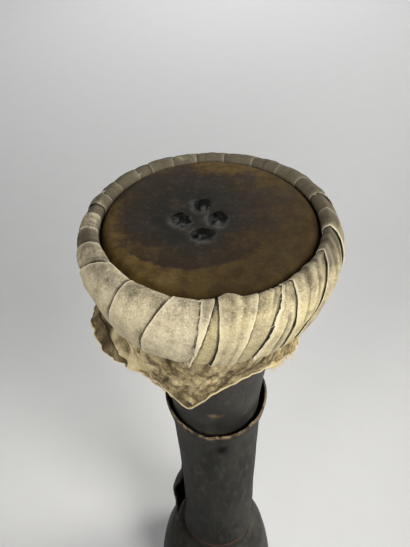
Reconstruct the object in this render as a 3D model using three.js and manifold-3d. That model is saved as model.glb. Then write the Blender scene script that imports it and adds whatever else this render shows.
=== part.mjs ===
// A tall single-headed ritual drum. A hollow wooden body with a bowl, a slim neck and a bell
// foot carries a hide head, which a cloth-bound ring holds on the bowl. The hide's spare
// corners hang below the ring, four wax lumps sit on the hide, and a second hide is wound
// round the neck as a sleeve. Millimetres, +Z up. The origin is the centre of the foot's
// underside, and the side towards -Y is the front.
import * as THREE from "three";
import { mergeVertices } from "three/addons/utils/BufferGeometryUtils.js";
import Module from "manifold-3d";

const wasm = await Module();
wasm.setup();

// Driving dimensions
const headHeight = 715; // playing face of the hide above the floor
const headRadius = 76; // bowl at the playing face
const footRadius = 87; // outer edge of the foot's underside
const neckRadius = 41; // slimmest place of the neck
const fitGap = 0.4; // room between pieces that touch

// Wooden body
const footWall = 10;
const bowlWall = 8;
const boreRadius = 30;
const bodySides = 40;
const bodyOuterSteps = 20;
const bodyInnerSteps = 10;

// Hide head
const hideThickness = 1.8;
const hideEdgeRound = 7; // bend of the hide over the bowl's rim
const hideSides = 52;
const skirtSteps = 4;
const tongueAcrossSteps = 14;
const tongueDownSteps = 5;
const skirtSlack = 1.2; // the skirt's own room over the bowl
const skirtBase = 100; // depth of the skirt's lower edge between its corners, below the face

// Cloth-bound ring
const ringDepth = 57; // ring below the playing face
const ringSectionSteps = 12;
const ringBackFullness = 0.17; // share by which the ring is fuller at its back quarters
const wrapStep = 1.5; // height of a wrap's edge over the next one
const wrapSlant = THREE.MathUtils.degToRad(18); // turn of a wrap from the top edge to the bottom one

// Wax lumps
const lumpRadius = 8;
const lumpHeight = 5.5;
const lumpCentre = new THREE.Vector2(-6.5, 0);
const lumpSpacing = new THREE.Vector2(13, 16.4);

// Neck sleeve
const sleeveTopDepth = 223; // below the playing face
const sleeveBottomDepth = 538;
const sleeveThickness = 2.4;
const sleeveLip = 4.2; // flare of the upper rim
const sleeveLipHeight = 48;
const sleeveOverlap = THREE.MathUtils.degToRad(25);
const sleeveFreeEdge = THREE.MathUtils.degToRad(185); // where the outer end of the hide lies
const sleevePeel = 14; // stand-off of the free edge where it has come away
const sleevePeelTopDepth = 404;
const sleevePeelRamp = 34; // height over which the free edge comes away
const sleevePeelTurn = THREE.MathUtils.degToRad(52); // width of the peeled part
const sleeveRiseTurn = THREE.MathUtils.degToRad(95); // turn over which the outer end climbs over the inner
const sleeveAroundSteps = 40;
const sleeveDownSteps = 9;

// Angles here are seen from above: 0 is +X and -90 degrees is the front.
const degrees = THREE.MathUtils.degToRad;
const smooth = THREE.MathUtils.smoothstep;
const front = degrees(-90);

// Smallest turn from one direction to another, with its sign.
function turnBetween(from, to) {
  return Math.atan2(Math.sin(to - from), Math.cos(to - from));
}

// One closed surface: shared corners merged, collapsed faces dropped, faces turned outwards.
function closeSurface(geometry) {
  geometry.deleteAttribute("normal");
  geometry.deleteAttribute("uv");
  const merged = mergeVertices(geometry, 1e-3);
  const corners = merged.index.array;
  const faces = [];
  for (let i = 0; i < corners.length; i += 3) {
    const [a, b, c] = corners.subarray(i, i + 3);
    if (a !== b && b !== c && c !== a) faces.push([a, b, c]);
  }
  const position = merged.getAttribute("position");
  const point = (index) => new THREE.Vector3().fromBufferAttribute(position, index);
  let volume = 0;
  for (const [a, b, c] of faces) volume += point(a).dot(point(b).cross(point(c))) / 6;
  merged.setIndex(faces.flatMap(([a, b, c]) => (volume < 0 ? [a, c, b] : [a, b, c])));
  merged.computeVertexNormals();
  return merged;
}

// A solid of sections round the Z axis. sectionAt gives the points [angle, radius, height] of
// one section, and every section has the same number of points. A looped section is a ring's.
function solidOfSections(sectionAt, sides, looped) {
  const sections = Array.from({ length: sides }, (_, side) => sectionAt(side));
  const rows = sections[0].length;
  const corners = sections.flat().flatMap(([angle, radius, height]) => [
    radius * Math.cos(angle),
    radius * Math.sin(angle),
    height,
  ]);
  const index = [];
  for (let side = 0; side < sides; side++) {
    const next = (side + 1) % sides;
    for (let row = 0; row < (looped ? rows : rows - 1); row++) {
      const below = (row + 1) % rows;
      const quad = [side * rows + row, next * rows + row, next * rows + below, side * rows + below];
      index.push(quad[0], quad[1], quad[2], quad[0], quad[2], quad[3]);
    }
  }
  const geometry = new THREE.BufferGeometry();
  geometry.setAttribute("position", new THREE.Float32BufferAttribute(corners, 3));
  geometry.setIndex(index);
  return closeSurface(geometry);
}

// A sheet of one thickness, bent by place(across, along, through), each from 0 to 1.
function solidOfSheet(place, acrossSteps, alongSteps) {
  const geometry = new THREE.BoxGeometry(1, 1, 1, acrossSteps, alongSteps, 1);
  const position = geometry.getAttribute("position");
  for (let i = 0; i < position.count; i++) {
    const [angle, radius, height] = place(
      position.getX(i) + 0.5,
      position.getY(i) + 0.5,
      position.getZ(i) + 0.5,
    );
    position.setXYZ(i, radius * Math.cos(angle), radius * Math.sin(angle), height);
  }
  return closeSurface(geometry);
}

function toManifold(geometry) {
  return new wasm.Manifold(
    new wasm.Mesh({
      numProp: 3,
      vertProperties: geometry.getAttribute("position").array,
      triVerts: new Uint32Array(geometry.index.array),
    }),
  );
}

function fromManifold(solid) {
  const mesh = solid.getMesh();
  const geometry = new THREE.BufferGeometry();
  geometry.setAttribute("position", new THREE.BufferAttribute(mesh.vertProperties, 3));
  geometry.setIndex(new THREE.BufferAttribute(mesh.triVerts, 1));
  geometry.computeVertexNormals();
  return geometry;
}

// The body's outer line, from the foot's edge up to the bowl's rim.
const bowlTop = headHeight - hideThickness - fitGap;
const bodyLine = new THREE.SplineCurve([
  new THREE.Vector2(footRadius, 0),
  new THREE.Vector2(footRadius - 5, 57),
  new THREE.Vector2(footRadius - 12, 105),
  new THREE.Vector2(footRadius - 20, 140),
  new THREE.Vector2(neckRadius + 13, 162),
  new THREE.Vector2(neckRadius + 3, 174),
  new THREE.Vector2(neckRadius + 1, 235),
  new THREE.Vector2(neckRadius, 336),
  new THREE.Vector2(neckRadius + 1.3, 440),
  new THREE.Vector2(neckRadius + 3.6, 505),
  new THREE.Vector2(neckRadius + 11, 569),
  new THREE.Vector2(headRadius - 13, 614),
  new THREE.Vector2(headRadius - 3, 652),
  new THREE.Vector2(headRadius - 0.4, 680),
  new THREE.Vector2(headRadius - 0.4, bowlTop - 8),
]);

// The hollow's line, from the bowl's mouth down to the foot's.
const hollowLine = new THREE.SplineCurve([
  new THREE.Vector2(headRadius - bowlWall, bowlTop),
  new THREE.Vector2(headRadius - bowlWall - 4, 655),
  new THREE.Vector2(boreRadius + 18, 605),
  new THREE.Vector2(boreRadius + 5, 555),
  new THREE.Vector2(boreRadius, 490),
  new THREE.Vector2(boreRadius - 1, 336),
  new THREE.Vector2(boreRadius, 190),
  new THREE.Vector2(boreRadius + 16, 142),
  new THREE.Vector2(footRadius - footWall - 13, 95),
  new THREE.Vector2(footRadius - footWall, 0),
]);

// The body's outer radius at a height, on the straight stretches between the line's steps.
const bodyOutline = bodyLine.getPoints(bodyOuterSteps);

function bodyRadiusAt(height) {
  const found = bodyOutline.findIndex((point) => point.y >= height);
  const above = found < 0 ? bodyOutline.length - 1 : Math.max(found, 1);
  const upper = bodyOutline[above];
  const lower = bodyOutline[above - 1];
  const share = THREE.MathUtils.clamp((height - lower.y) / (upper.y - lower.y), 0, 1);
  return THREE.MathUtils.lerp(lower.x, upper.x, share);
}

function makeBody() {
  const rim = [
    new THREE.Vector2(headRadius - 2, bowlTop - 2.8),
    new THREE.Vector2(headRadius - 6, bowlTop),
  ];
  const inner = hollowLine.getPoints(bodyInnerSteps);
  const lathe = new THREE.LatheGeometry([...bodyOutline, ...rim, ...inner, bodyOutline[0]], bodySides);
  return closeSurface(lathe.rotateX(Math.PI / 2));
}

// The hide: corners of the skirt, each a tent in the lower edge, and places where it stands off
const skirtCorners = [
  { at: front - degrees(80), drop: 14, spread: degrees(24) },
  { at: front - degrees(45), drop: 47, spread: degrees(36) },
  { at: front - degrees(3), drop: 26, spread: degrees(70) },
  { at: front + degrees(72), drop: 42, spread: degrees(45) },
  { at: front + degrees(178), drop: 34, spread: degrees(62) },
];
const skirtFlares = [
  { at: front - degrees(94), lift: 38, spread: degrees(36) },
  { at: front + degrees(70), lift: 11, spread: degrees(30) },
  { at: front + degrees(165), lift: 9, spread: degrees(40) },
];

// Depth of the skirt's lower edge below the playing face.
function skirtEdge(angle) {
  const tents = skirtCorners.map(({ at, drop, spread }) => {
    const away = Math.abs(turnBetween(at, angle)) / spread;
    return drop * Math.max(0, 1 - away);
  });
  return skirtBase + Math.max(...tents);
}

// A smooth hump round one direction: 1 there, and falling away over the spread.
function hump(at, spread, angle) {
  return Math.exp(-((turnBetween(at, angle) / spread) ** 2));
}

// How far the skirt stands off the bowl, at a share of its way down.
function skirtLift(angle, share) {
  const waves = 1.2 + 1.1 * Math.sin(5 * angle + 0.6);
  const flare = skirtFlares.reduce((sum, { at, lift, spread }) => sum + lift * hump(at, spread, angle), 0);
  return (waves + flare) * share ** 1.2;
}

const skirtTop = headHeight - ringDepth - 3;
const hideSide = headRadius + fitGap; // inner face of the hide on the bowl's side

// The hide's inner and outer lines at one angle: flat face, bend, side and skirt.
function hideSection(side) {
  const angle = (side / hideSides) * 2 * Math.PI;
  const outer = [];
  const inner = [];
  const innerTop = headHeight - hideThickness;
  for (const share of [0, 0.36, 0.7, 1]) {
    const radius = share * (hideSide - hideEdgeRound);
    outer.push([angle, radius, headHeight]);
    inner.push([angle, radius, innerTop]);
  }
  for (const bend of [30, 60, 90]) {
    const across = Math.sin(degrees(bend));
    const down = 1 - Math.cos(degrees(bend));
    const outerBend = hideEdgeRound + hideThickness;
    const start = hideSide - hideEdgeRound;
    outer.push([angle, start + outerBend * across, headHeight - outerBend * down]);
    inner.push([angle, start + hideEdgeRound * across, innerTop - hideEdgeRound * down]);
  }
  for (const height of [22, 34, 46].map((depth) => headHeight - depth)) {
    const radius = bodyRadiusAt(height) + fitGap;
    inner.push([angle, radius, height]);
    outer.push([angle, radius + hideThickness, height]);
  }
  const edgeHeight = headHeight - skirtEdge(angle);
  for (let step = 0; step <= skirtSteps; step++) {
    const share = step / skirtSteps;
    const height = THREE.MathUtils.lerp(skirtTop, edgeHeight, share);
    const radius = bodyRadiusAt(height) + fitGap + skirtSlack * (0.5 + share) + skirtLift(angle, share);
    inner.push([angle, radius, height]);
    outer.push([angle, radius + hideThickness, height]);
  }
  return [...outer, ...inner.reverse()];
}

// The front corner of the hide, a tongue that lies over the skirt and comes to a point.
const tongue = {
  tip: front - degrees(13),
  left: front - degrees(50),
  right: front + degrees(47),
  topDepth: 58,
  leftDepth: 78,
  rightDepth: 128,
  tipDepth: 175,
  standOff: 2.2,
};

function placeOnTongue(across, along, through) {
  const angle = THREE.MathUtils.lerp(tongue.left, tongue.right, across);
  const reach = angle < tongue.tip ? tongue.tip - tongue.left : tongue.right - tongue.tip;
  const away = Math.abs(angle - tongue.tip) / reach;
  const sideDepth = angle < tongue.tip ? tongue.leftDepth : tongue.rightDepth;
  const edgeDepth = THREE.MathUtils.lerp(tongue.tipDepth, sideDepth, away);
  const height = headHeight - THREE.MathUtils.lerp(edgeDepth, tongue.topDepth, along);
  const skirtShare = (skirtTop - height) / (skirtTop - headHeight + skirtEdge(angle));
  const under = skirtLift(angle, Math.min(1, Math.max(0, skirtShare)));
  const rise = THREE.MathUtils.lerp(tongue.standOff, 0.4, along ** 3);
  const radius = bodyRadiusAt(height) + fitGap + skirtSlack * 1.5 + under + rise + through * hideThickness;
  return [angle, radius, height];
}

function makeHide() {
  const head = solidOfSections(hideSection, hideSides, false);
  const corner = solidOfSheet(placeOnTongue, tongueAcrossSteps, tongueDownSteps);
  return fromManifold(toManifold(head).add(toManifold(corner)));
}

// Edges of the cloth's wraps, as turns from the front, to the right
const wrapEdges = [
  -172, -158, -146, -131, -119, -110, -102, -93, -81, -66, -42, -23, -5, 3, 13, 22, 32, 46, 62, 76,
  91, 107, 122, 138, 152, 168,
].map((turn) => front + degrees(turn));
const wrapColumns = 3; // sections in each wrap: its low start, its middle and its high end
const ringInner = hideSide + hideThickness + fitGap;

// The ring's section as [distance from the hide, height over the playing face]: upright against
// the hide, sloping off at the top, widest a third of the way down and drawn in below.
const ringLine = new THREE.CatmullRomCurve3(
  [
    [0, -44],
    [0, -20],
    [0.5, 0],
    [4.5, 2.6],
    [11.5, -4],
    [17.5, -13],
    [19.4, -23],
    [17.5, -35],
    [12.5, 7 - ringDepth],
    [5, -ringDepth],
  ].map(([across, height]) => new THREE.Vector3(across, height, 0)),
  true,
);

// The ring is fuller towards its back quarters, where the cloth is wound more often.
function ringFullness(angle) {
  const quarters = [front - degrees(125), front + degrees(132)];
  return quarters.reduce((sum, at) => sum + ringBackFullness * hump(at, degrees(30), angle), 1);
}

// One section of the ring: each wrap rises from its low start to its high end.
function ringSection(column) {
  const wrap = Math.floor(column / wrapColumns);
  const start = wrapEdges[wrap];
  const width = turnBetween(start, wrapEdges[(wrap + 1) % wrapEdges.length]);
  const share = [0, 0.5, 0.96][column % wrapColumns];
  return Array.from({ length: ringSectionSteps }, (_, step) => {
    const { x: across, y: height } = ringLine.getPoint(step / ringSectionSteps);
    const outside = smooth(across, 0.5, 9);
    const down = smooth(-height, -3, ringDepth);
    const cover = wrapStep * (share - 0.5) * outside;
    const angle = start + width * share - wrapSlant * down * outside;
    const radius = ringInner + Math.max(across, 0) * ringFullness(angle) + cover;
    return [angle, radius, headHeight + height];
  });
}

function makeRing() {
  return solidOfSections(ringSection, wrapEdges.length * wrapColumns, true);
}

// A wax lump: a low crumpled cone with a flat underside.
function makeLump(seed) {
  const sides = 11;
  const line = [
    [0, 1],
    [0.32, 0.93],
    [0.62, 0.6],
    [0.88, 0.22],
    [1, 0],
    [0, 0],
  ];
  const sectionAt = (side) => {
    const angle = (side / sides) * 2 * Math.PI;
    const outline = 1 + 0.13 * Math.sin(2 * angle + seed) + 0.08 * Math.sin(5 * angle + 2 * seed);
    return line.map(([radius, height]) => [angle, radius * lumpRadius * outline, height * lumpHeight]);
  };
  return solidOfSections(sectionAt, sides, false);
}

// The sleeve: one hide wound round the neck, its upper rim flared, its outer end laid over the
// inner one, and the lower part of that free end peeled away.
function placeOnSleeve(across, along, through) {
  const fullTurn = 2 * Math.PI + sleeveOverlap;
  const angle = sleeveFreeEdge - fullTurn * (1 - across);
  const height = headHeight - THREE.MathUtils.lerp(sleeveBottomDepth, sleeveTopDepth, along);
  const fromTop = headHeight - sleeveTopDepth - height;
  const lip = sleeveLip * (1 - smooth(fromTop, 0, sleeveLipHeight)) ** 1.6;
  const lipWave = 1 + 0.2 * Math.sin(3 * angle + 1);
  const toFreeEdge = sleeveFreeEdge - angle;
  const overlap = (sleeveThickness + fitGap) * (1 - smooth(toFreeEdge, sleeveOverlap, sleeveRiseTurn));
  const depth = headHeight - height;
  const peelDepth = sleevePeelTopDepth + sleevePeelRamp;
  const open = smooth(depth, sleevePeelTopDepth, peelDepth);
  const closing = 1 - 0.25 * smooth(depth, peelDepth, sleeveBottomDepth);
  const peel = sleevePeel * open * closing * (1 - smooth(toFreeEdge, 0, sleevePeelTurn));
  const radius = bodyRadiusAt(height) + fitGap + lip * lipWave + overlap + peel + through * sleeveThickness;
  return [angle, radius, height];
}

function makeSleeve() {
  return solidOfSheet(placeOnSleeve, sleeveAroundSteps, sleeveDownSteps);
}

// Finishes
const blackenedWood = new THREE.MeshStandardMaterial({ color: 0x3a3836, roughness: 0.6, metalness: 0 });
const brownHide = new THREE.MeshStandardMaterial({ color: 0x6b5536, roughness: 0.75, metalness: 0 });
const paleCloth = new THREE.MeshStandardMaterial({ color: 0xb8ab8a, roughness: 0.95, metalness: 0 });
const darkWax = new THREE.MeshStandardMaterial({ color: 0x1c1b1a, roughness: 0.5, metalness: 0 });
const blackHide = new THREE.MeshStandardMaterial({ color: 0x474543, roughness: 0.65, metalness: 0 });

function namedMesh(name, geometry, material) {
  const mesh = new THREE.Mesh(geometry, material);
  mesh.name = name;
  return mesh;
}

const drum = new THREE.Group();
drum.add(namedMesh("drum_body", makeBody(), blackenedWood));
drum.add(namedMesh("drum_hide", makeHide(), brownHide));
drum.add(namedMesh("head_ring", makeRing(), paleCloth));
drum.add(namedMesh("neck_sleeve", makeSleeve(), blackHide));

const lumpPlaces = { far: [0, 1], near: [0, -1], left: [-1, 0], right: [1, 0] };
Object.entries(lumpPlaces).forEach(([place, [across, away]], count) => {
  const lump = namedMesh(`wax_lump_${place}`, makeLump(1.7 * count), darkWax);
  lump.position.set(
    lumpCentre.x + across * lumpSpacing.x,
    lumpCentre.y + away * lumpSpacing.y,
    headHeight + fitGap,
  );
  drum.add(lump);
});

export default drum;
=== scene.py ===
# Ritual drum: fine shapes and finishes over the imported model.
# Sizes are millimetres unless a note says otherwise. A turn is degrees round the drum's axis, from the
# front (-Y) to the right, and a depth is measured down from the playing face.
import math

import bpy
import numpy as np
from mathutils import Matrix, Vector


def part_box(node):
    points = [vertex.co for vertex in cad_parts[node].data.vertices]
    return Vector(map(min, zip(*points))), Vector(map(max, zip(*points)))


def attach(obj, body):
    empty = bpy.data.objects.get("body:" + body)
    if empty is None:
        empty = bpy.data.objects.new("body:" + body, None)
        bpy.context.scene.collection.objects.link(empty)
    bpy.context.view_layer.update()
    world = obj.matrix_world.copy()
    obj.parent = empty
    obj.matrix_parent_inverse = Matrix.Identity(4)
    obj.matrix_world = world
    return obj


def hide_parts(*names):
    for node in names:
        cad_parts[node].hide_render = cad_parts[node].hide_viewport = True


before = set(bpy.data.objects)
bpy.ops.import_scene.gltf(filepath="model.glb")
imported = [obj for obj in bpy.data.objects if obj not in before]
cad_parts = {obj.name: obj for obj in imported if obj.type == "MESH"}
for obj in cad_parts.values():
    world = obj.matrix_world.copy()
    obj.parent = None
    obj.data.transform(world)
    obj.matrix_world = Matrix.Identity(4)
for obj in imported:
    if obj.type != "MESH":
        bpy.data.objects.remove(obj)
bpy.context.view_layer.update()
mm = 0.001
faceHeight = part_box("drum_hide")[1].z / mm
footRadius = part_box("drum_body")[1].x / mm
print("frame loaded, face at", round(faceHeight), "mm")


# Shapes as arrays

def smoothStep(value, low, high):
    # 0 below low, 1 above high, an S-shaped rise between
    share = np.clip((value - low) / (high - low), 0, 1)
    return share * share * (3 - 2 * share)


def turnFrom(turn, at):
    # smallest turn from one direction to another, with its sign
    return (turn - at + 180) % 360 - 180


def hump(turn, at, spread):
    # 1 in one direction, a bell curve falling away over the spread
    return np.exp(-((turnFrom(turn, at) / spread) ** 2))


# how far the carved axis shifts to the right at each depth
lean = {"depth": [0, 150, 250, 350, 460, 540, 600, 715], "shift": [0, 0, 2.6, 3.8, 3.8, 1.2, -1.6, -2]}


def outward(turn):
    # level unit vectors that point away from the axis
    angle = np.radians(turn)
    return np.stack([np.sin(angle), -np.cos(angle), 0 * angle], -1)


def roundAxis(turn, radius, depth):
    # points at a turn, a distance from the axis and a depth below the face; the carved axis bends a little
    shift = np.interp(depth, lean["depth"], lean["shift"])
    angle = np.radians(turn)
    places = np.broadcast_arrays(radius * np.sin(angle) + shift, -radius * np.cos(angle), faceHeight - depth)
    return np.stack(places, -1)


def noise(points, size, seed=0):
    # value noise: a random number at every corner of a cubic lattice, blended smoothly between, -1 to 1
    cell = points / size + 1000
    corner = np.floor(cell).astype(np.int64)
    part = cell - corner
    part = part * part * (3 - 2 * part)
    total = 0
    for step in np.ndindex(2, 2, 2):
        key = corner + step
        mixed = key[..., 0] * 73856093 ^ key[..., 1] * 19349663 ^ key[..., 2] * 83492791
        mixed = mixed ^ (seed + 7) * 50331653
        mixed = (mixed ^ (mixed >> 13)) * 1274126177
        mixed = (mixed ^ (mixed >> 16)) & 0xFFFF
        total = total + np.prod(np.where(step, part, 1 - part), axis=-1) * (mixed / 32767.5 - 1)
    return total


def crumple(points, size, seed=0):
    # three layers of noise, each half the size and half the height of the last
    return sum(noise(points, size / 2**k, seed + k) / 2**k for k in range(3))


def curveThrough(points, count):
    # a smooth line through points, by the Catmull-Rom formula with its ends repeated
    given = np.asarray(points, float)
    padded = np.vstack([given[:1], given, given[-1:]])
    along = np.linspace(0, len(given) - 1, count)
    first = np.minimum(along.astype(int), len(given) - 2)
    part = (along - first)[:, None]
    a, b, c, d = (padded[first + k] for k in range(4))
    square = 2 * a - 5 * b + 4 * c - d
    cube = 3 * b - a - 3 * c + d
    return 0.5 * (2 * b + (c - a) * part + square * part**2 + cube * part**3)


def lengthAlong(line):
    # distance from a line's start to each of its points
    return np.r_[0, np.cumsum(np.linalg.norm(np.diff(line, axis=0), axis=1))]


def evenLine(line, count):
    # points at even distances along a line
    length = lengthAlong(line)
    where = np.linspace(0, length[-1], count)
    return np.stack([np.interp(where, length, column) for column in line.T], -1)


def gridQuads(rows, columns, loopRows=False, loopColumns=False):
    # the quads between neighbouring points of a grid, facing out where rows run down and columns to the right
    row = np.arange(rows if loopRows else rows - 1)[:, None]
    column = np.arange(columns if loopColumns else columns - 1)[None, :]
    below, beside = (row + 1) % rows, (column + 1) % columns
    corners = (row * columns + column, below * columns + column,
               below * columns + beside, row * columns + beside)
    return np.stack(np.broadcast_arrays(*corners), -1).reshape(-1, 4)


def gridNormals(points, loopColumns=False):
    # unit normals of a grid, from the differences down its columns and along its rows
    down = np.gradient(points, axis=0)
    across = np.roll(points, -1, 1) - np.roll(points, 1, 1) if loopColumns else np.gradient(points, axis=1)
    normal = np.cross(down, across)
    return normal / np.maximum(np.linalg.norm(normal, axis=-1, keepdims=True), 1e-9)


noTriangles = np.zeros((0, 3), int)


def shell(outer, thickness, loopColumns=False, pole=False, **values):
    # a sheet with its thickness: the outer grid, the same grid moved inwards, and the rims between them;
    # with a pole, the first row closes to a point instead of leaving a rim
    rows, columns = outer.shape[:2]
    count = rows * columns
    inner = outer - gridNormals(outer, loopColumns) * np.broadcast_to(thickness, (rows, columns))[..., None]
    points = np.concatenate([outer.reshape(-1, 3), inner.reshape(-1, 3)])
    number = np.arange(count).reshape(rows, columns)
    quads = gridQuads(rows, columns, False, loopColumns)
    if loopColumns:
        rims = [np.r_[number[-1], number[-1, :1]][::-1]]
        if not pole:
            rims.append(np.r_[number[0], number[0, :1]])
    else:
        rims = [np.r_[number[0], number[1:, -1], number[-1, -2::-1], number[-2::-1, 0]]]
    sides = [np.stack([rim[:-1], rim[1:], rim[1:] + count, rim[:-1] + count], -1) for rim in rims]
    spread = {name: np.tile(np.broadcast_to(value, (rows, columns)).ravel(), 2)
              for name, value in values.items()}
    spread["inside"] = np.repeat([0.0, 1.0], count)
    triangles = noTriangles
    if pole:
        first, after = number[0], np.roll(number[0], -1)
        middle = np.full(columns, 2 * count)
        points = np.vstack([points, outer[0].mean(0), inner[0].mean(0)])
        triangles = np.vstack([
            np.stack([middle, first, after], -1),
            np.stack([middle + 1, after + count, first + count], -1),
        ])
        spread = {name: np.r_[value, value[0], value[count]] for name, value in spread.items()}
    return {"points": points, "quads": np.vstack([quads, quads[:, ::-1] + count, *sides]),
            "triangles": triangles, "values": spread}


def strands(lines, radius):
    # thin threads along several lines of points, four-sided and drawn out to a point at their far ends
    amount, steps = lines.shape[:2]
    tangent = np.gradient(lines, axis=1)
    tangent /= np.maximum(np.linalg.norm(tangent, axis=-1, keepdims=True), 1e-9)
    side = np.cross(tangent, [0.31, 0.17, 0.93])
    side /= np.maximum(np.linalg.norm(side, axis=-1, keepdims=True), 1e-9)
    other = np.cross(tangent, side)
    taper = np.linspace(1, 0.25, steps)[None, :, None]
    width = radius * taper
    corners = [lines + width * (side * math.cos(a) + other * math.sin(a)) for a in np.arange(4) * math.pi / 2]
    ends = [[3, 2, 1, 0]], np.arange(4) + (steps - 1) * 4
    one = np.vstack([gridQuads(steps, 4, False, True)[:, ::-1], *ends])
    quads = (one[None] + np.arange(amount)[:, None, None] * steps * 4).reshape(-1, 4)
    points = np.stack(corners, 2).reshape(-1, 3)
    return {"points": points, "quads": quads, "triangles": noTriangles, "values": {}}


def closedGrid(points, **values):
    # a grid that closes on itself both ways, such as a turned profile
    rows, columns = points.shape[:2]
    spread = {name: np.broadcast_to(value, (rows, columns)).ravel() for name, value in values.items()}
    quads = gridQuads(rows, columns, True, True)
    return {"points": points.reshape(-1, 3), "quads": quads, "triangles": noTriangles, "values": spread}


def outwards(part):
    # turns the faces of a closed part round if the volume that they enclose comes out negative
    points, quads, triangles = part["points"], part["quads"], part["triangles"]
    faces = np.vstack([quads[:, [0, 1, 2]], quads[:, [0, 2, 3]], triangles])
    a, b, c = (points[faces[:, k]] for k in range(3))
    if (a * np.cross(b, c)).sum() < 0:
        part["quads"], part["triangles"] = quads[:, ::-1], triangles[:, ::-1]
    return part


def makePiece(name, parts, material, replaces=(), sharpAngle=50):
    # one object of several closed parts, with their values as point attributes
    parts = [outwards(part) for part in parts]
    starts = np.cumsum([0] + [len(part["points"]) for part in parts])
    points = np.vstack([part["points"] for part in parts]) * mm
    quads = np.vstack([part["quads"] + start for part, start in zip(parts, starts)])
    triangles = np.vstack([part["triangles"] + start for part, start in zip(parts, starts)])
    mesh = bpy.data.meshes.new(name)
    mesh.vertices.add(len(points))
    mesh.vertices.foreach_set("co", points.astype(np.float32).ravel())
    mesh.loops.add(quads.size + triangles.size)
    mesh.loops.foreach_set("vertex_index", np.r_[quads.ravel(), triangles.ravel()].astype(np.int32))
    mesh.polygons.add(len(quads) + len(triangles))
    loopStarts = np.r_[np.arange(len(quads)) * 4, quads.size + np.arange(len(triangles)) * 3]
    mesh.polygons.foreach_set("loop_start", loopStarts.astype(np.int32))
    mesh.polygons.foreach_set("use_smooth", np.ones(len(loopStarts), bool))
    mesh.update(calc_edges=True)
    mesh.set_sharp_from_angle(angle=math.radians(sharpAngle))
    for key in sorted({key for part in parts for key in part["values"]}):
        value = np.concatenate([part["values"].get(key, np.zeros(len(part["points"]))) for part in parts])
        mesh.attributes.new(key, "FLOAT", "POINT").data.foreach_set("value", value.astype(np.float32))
    mesh.materials.append(material)
    piece = bpy.data.objects.new(name, mesh)
    bpy.context.scene.collection.objects.link(piece)
    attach(piece, "root")
    if replaces:
        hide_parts(*replaces)
    print(name, len(quads) * 2 + len(triangles), "triangles")
    return piece


# Materials

def addNode(tree, kind, inputs=None, **settings):
    made = tree.nodes.new("ShaderNode" + kind)
    for key, value in settings.items():
        setattr(made, key, value)
    for key, value in (inputs or {}).items():
        if isinstance(value, bpy.types.NodeSocket):
            tree.links.new(value, made.inputs[key])
        else:
            made.inputs[key].default_value = value
    return made


class Finish:
    # a material with short names for the nodes that the finishes below share
    def __init__(self, name, roughness, specular):
        self.material = bpy.data.materials.new(name)
        self.material.use_nodes = True
        self.tree = self.material.node_tree
        self.shader = self.tree.nodes["Principled BSDF"]
        self.shader.inputs["Roughness"].default_value = roughness
        self.shader.inputs["Specular IOR Level"].default_value = specular
        self.place = addNode(self.tree, "TexCoord").outputs["Object"]

    def noise(self, size, detail=4.0, stretch=(1, 1, 1), rough=0.55):
        # noise with features of a size in millimetres, 0 to 1
        scaled = addNode(self.tree, "Mapping", {"Vector": self.place, "Scale": stretch})
        inputs = {"Vector": scaled.outputs["Vector"], "Scale": 1 / (size * mm),
                  "Detail": detail, "Roughness": rough}
        return addNode(self.tree, "TexNoise", inputs).outputs["Fac"]

    def value(self, name):
        return addNode(self.tree, "Attribute", attribute_name=name).outputs["Fac"]

    def math(self, operation, first, second=0.0):
        made = addNode(self.tree, "Math", {0: first, 1: second}, operation=operation)
        return made.outputs[0]

    def creases(self, size, stretch):
        # 0 along the creases of a noise, rising to either side
        return self.math("ABSOLUTE", self.math("SUBTRACT", self.noise(size, 3, stretch), 0.5))

    def ramp(self, value, low, high, start=0.0, end=1.0):
        # start below low, end above high, a smooth step between
        inputs = {"Value": value, "From Min": low, "From Max": high, "To Min": start, "To Max": end}
        return addNode(self.tree, "MapRange", inputs, interpolation_type="SMOOTHSTEP").outputs[0]

    def mix(self, share, first, second):
        made = addNode(self.tree, "Mix", data_type="RGBA")
        for key, value in ((0, share), (6, first), (7, second)):
            if isinstance(value, bpy.types.NodeSocket):
                self.tree.links.new(value, made.inputs[key])
            else:
                made.inputs[key].default_value = value if key == 0 else (*value, 1)
        return made.outputs[2]

    def colour(self, socket):
        self.tree.links.new(socket, self.shader.inputs["Base Color"])

    def roughness(self, socket):
        self.tree.links.new(socket, self.shader.inputs["Roughness"])

    def bump(self, *layers):
        # bumps laid over one another, each a height, a strength and a depth in millimetres
        normal = None
        for height, strength, depth in layers:
            inputs = {"Height": height, "Strength": strength, "Distance": depth * mm}
            if normal:
                inputs["Normal"] = normal
            normal = addNode(self.tree, "Bump", inputs).outputs["Normal"]
        self.tree.links.new(normal, self.shader.inputs["Normal"])


def woodFinish():
    # smoke-blackened wood: fine upright grain, scuffs, brown wear where the edge and chips are bare
    wood = Finish("blackenedWood", 0.6, 0.07)
    grain = wood.noise(3, 5, (1, 1, 0.06))
    cloud = wood.noise(45, 5)
    scuff = wood.noise(9, 6, (1, 1, 0.5))
    base = wood.mix(wood.ramp(cloud, 0.35, 0.68), (0.0155, 0.0145, 0.0125), (0.038, 0.0355, 0.030))
    base = wood.mix(wood.ramp(grain, 0.5, 0.72, 0, 0.5), base, (0.012, 0.011, 0.0095))
    base = wood.mix(wood.ramp(scuff, 0.56, 0.74, 0, 0.5), base, (0.072, 0.063, 0.050))
    bare = wood.math("MULTIPLY", wood.value("bare"), wood.ramp(scuff, 0.3, 0.55))
    base = wood.mix(bare, base, (0.20, 0.125, 0.062))
    wood.colour(base)
    wood.roughness(wood.ramp(cloud, 0.3, 0.7, 0.42, 0.6))
    wood.bump((grain, 0.3, 0.5), (scuff, 0.25, 0.6))
    return wood.material


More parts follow.
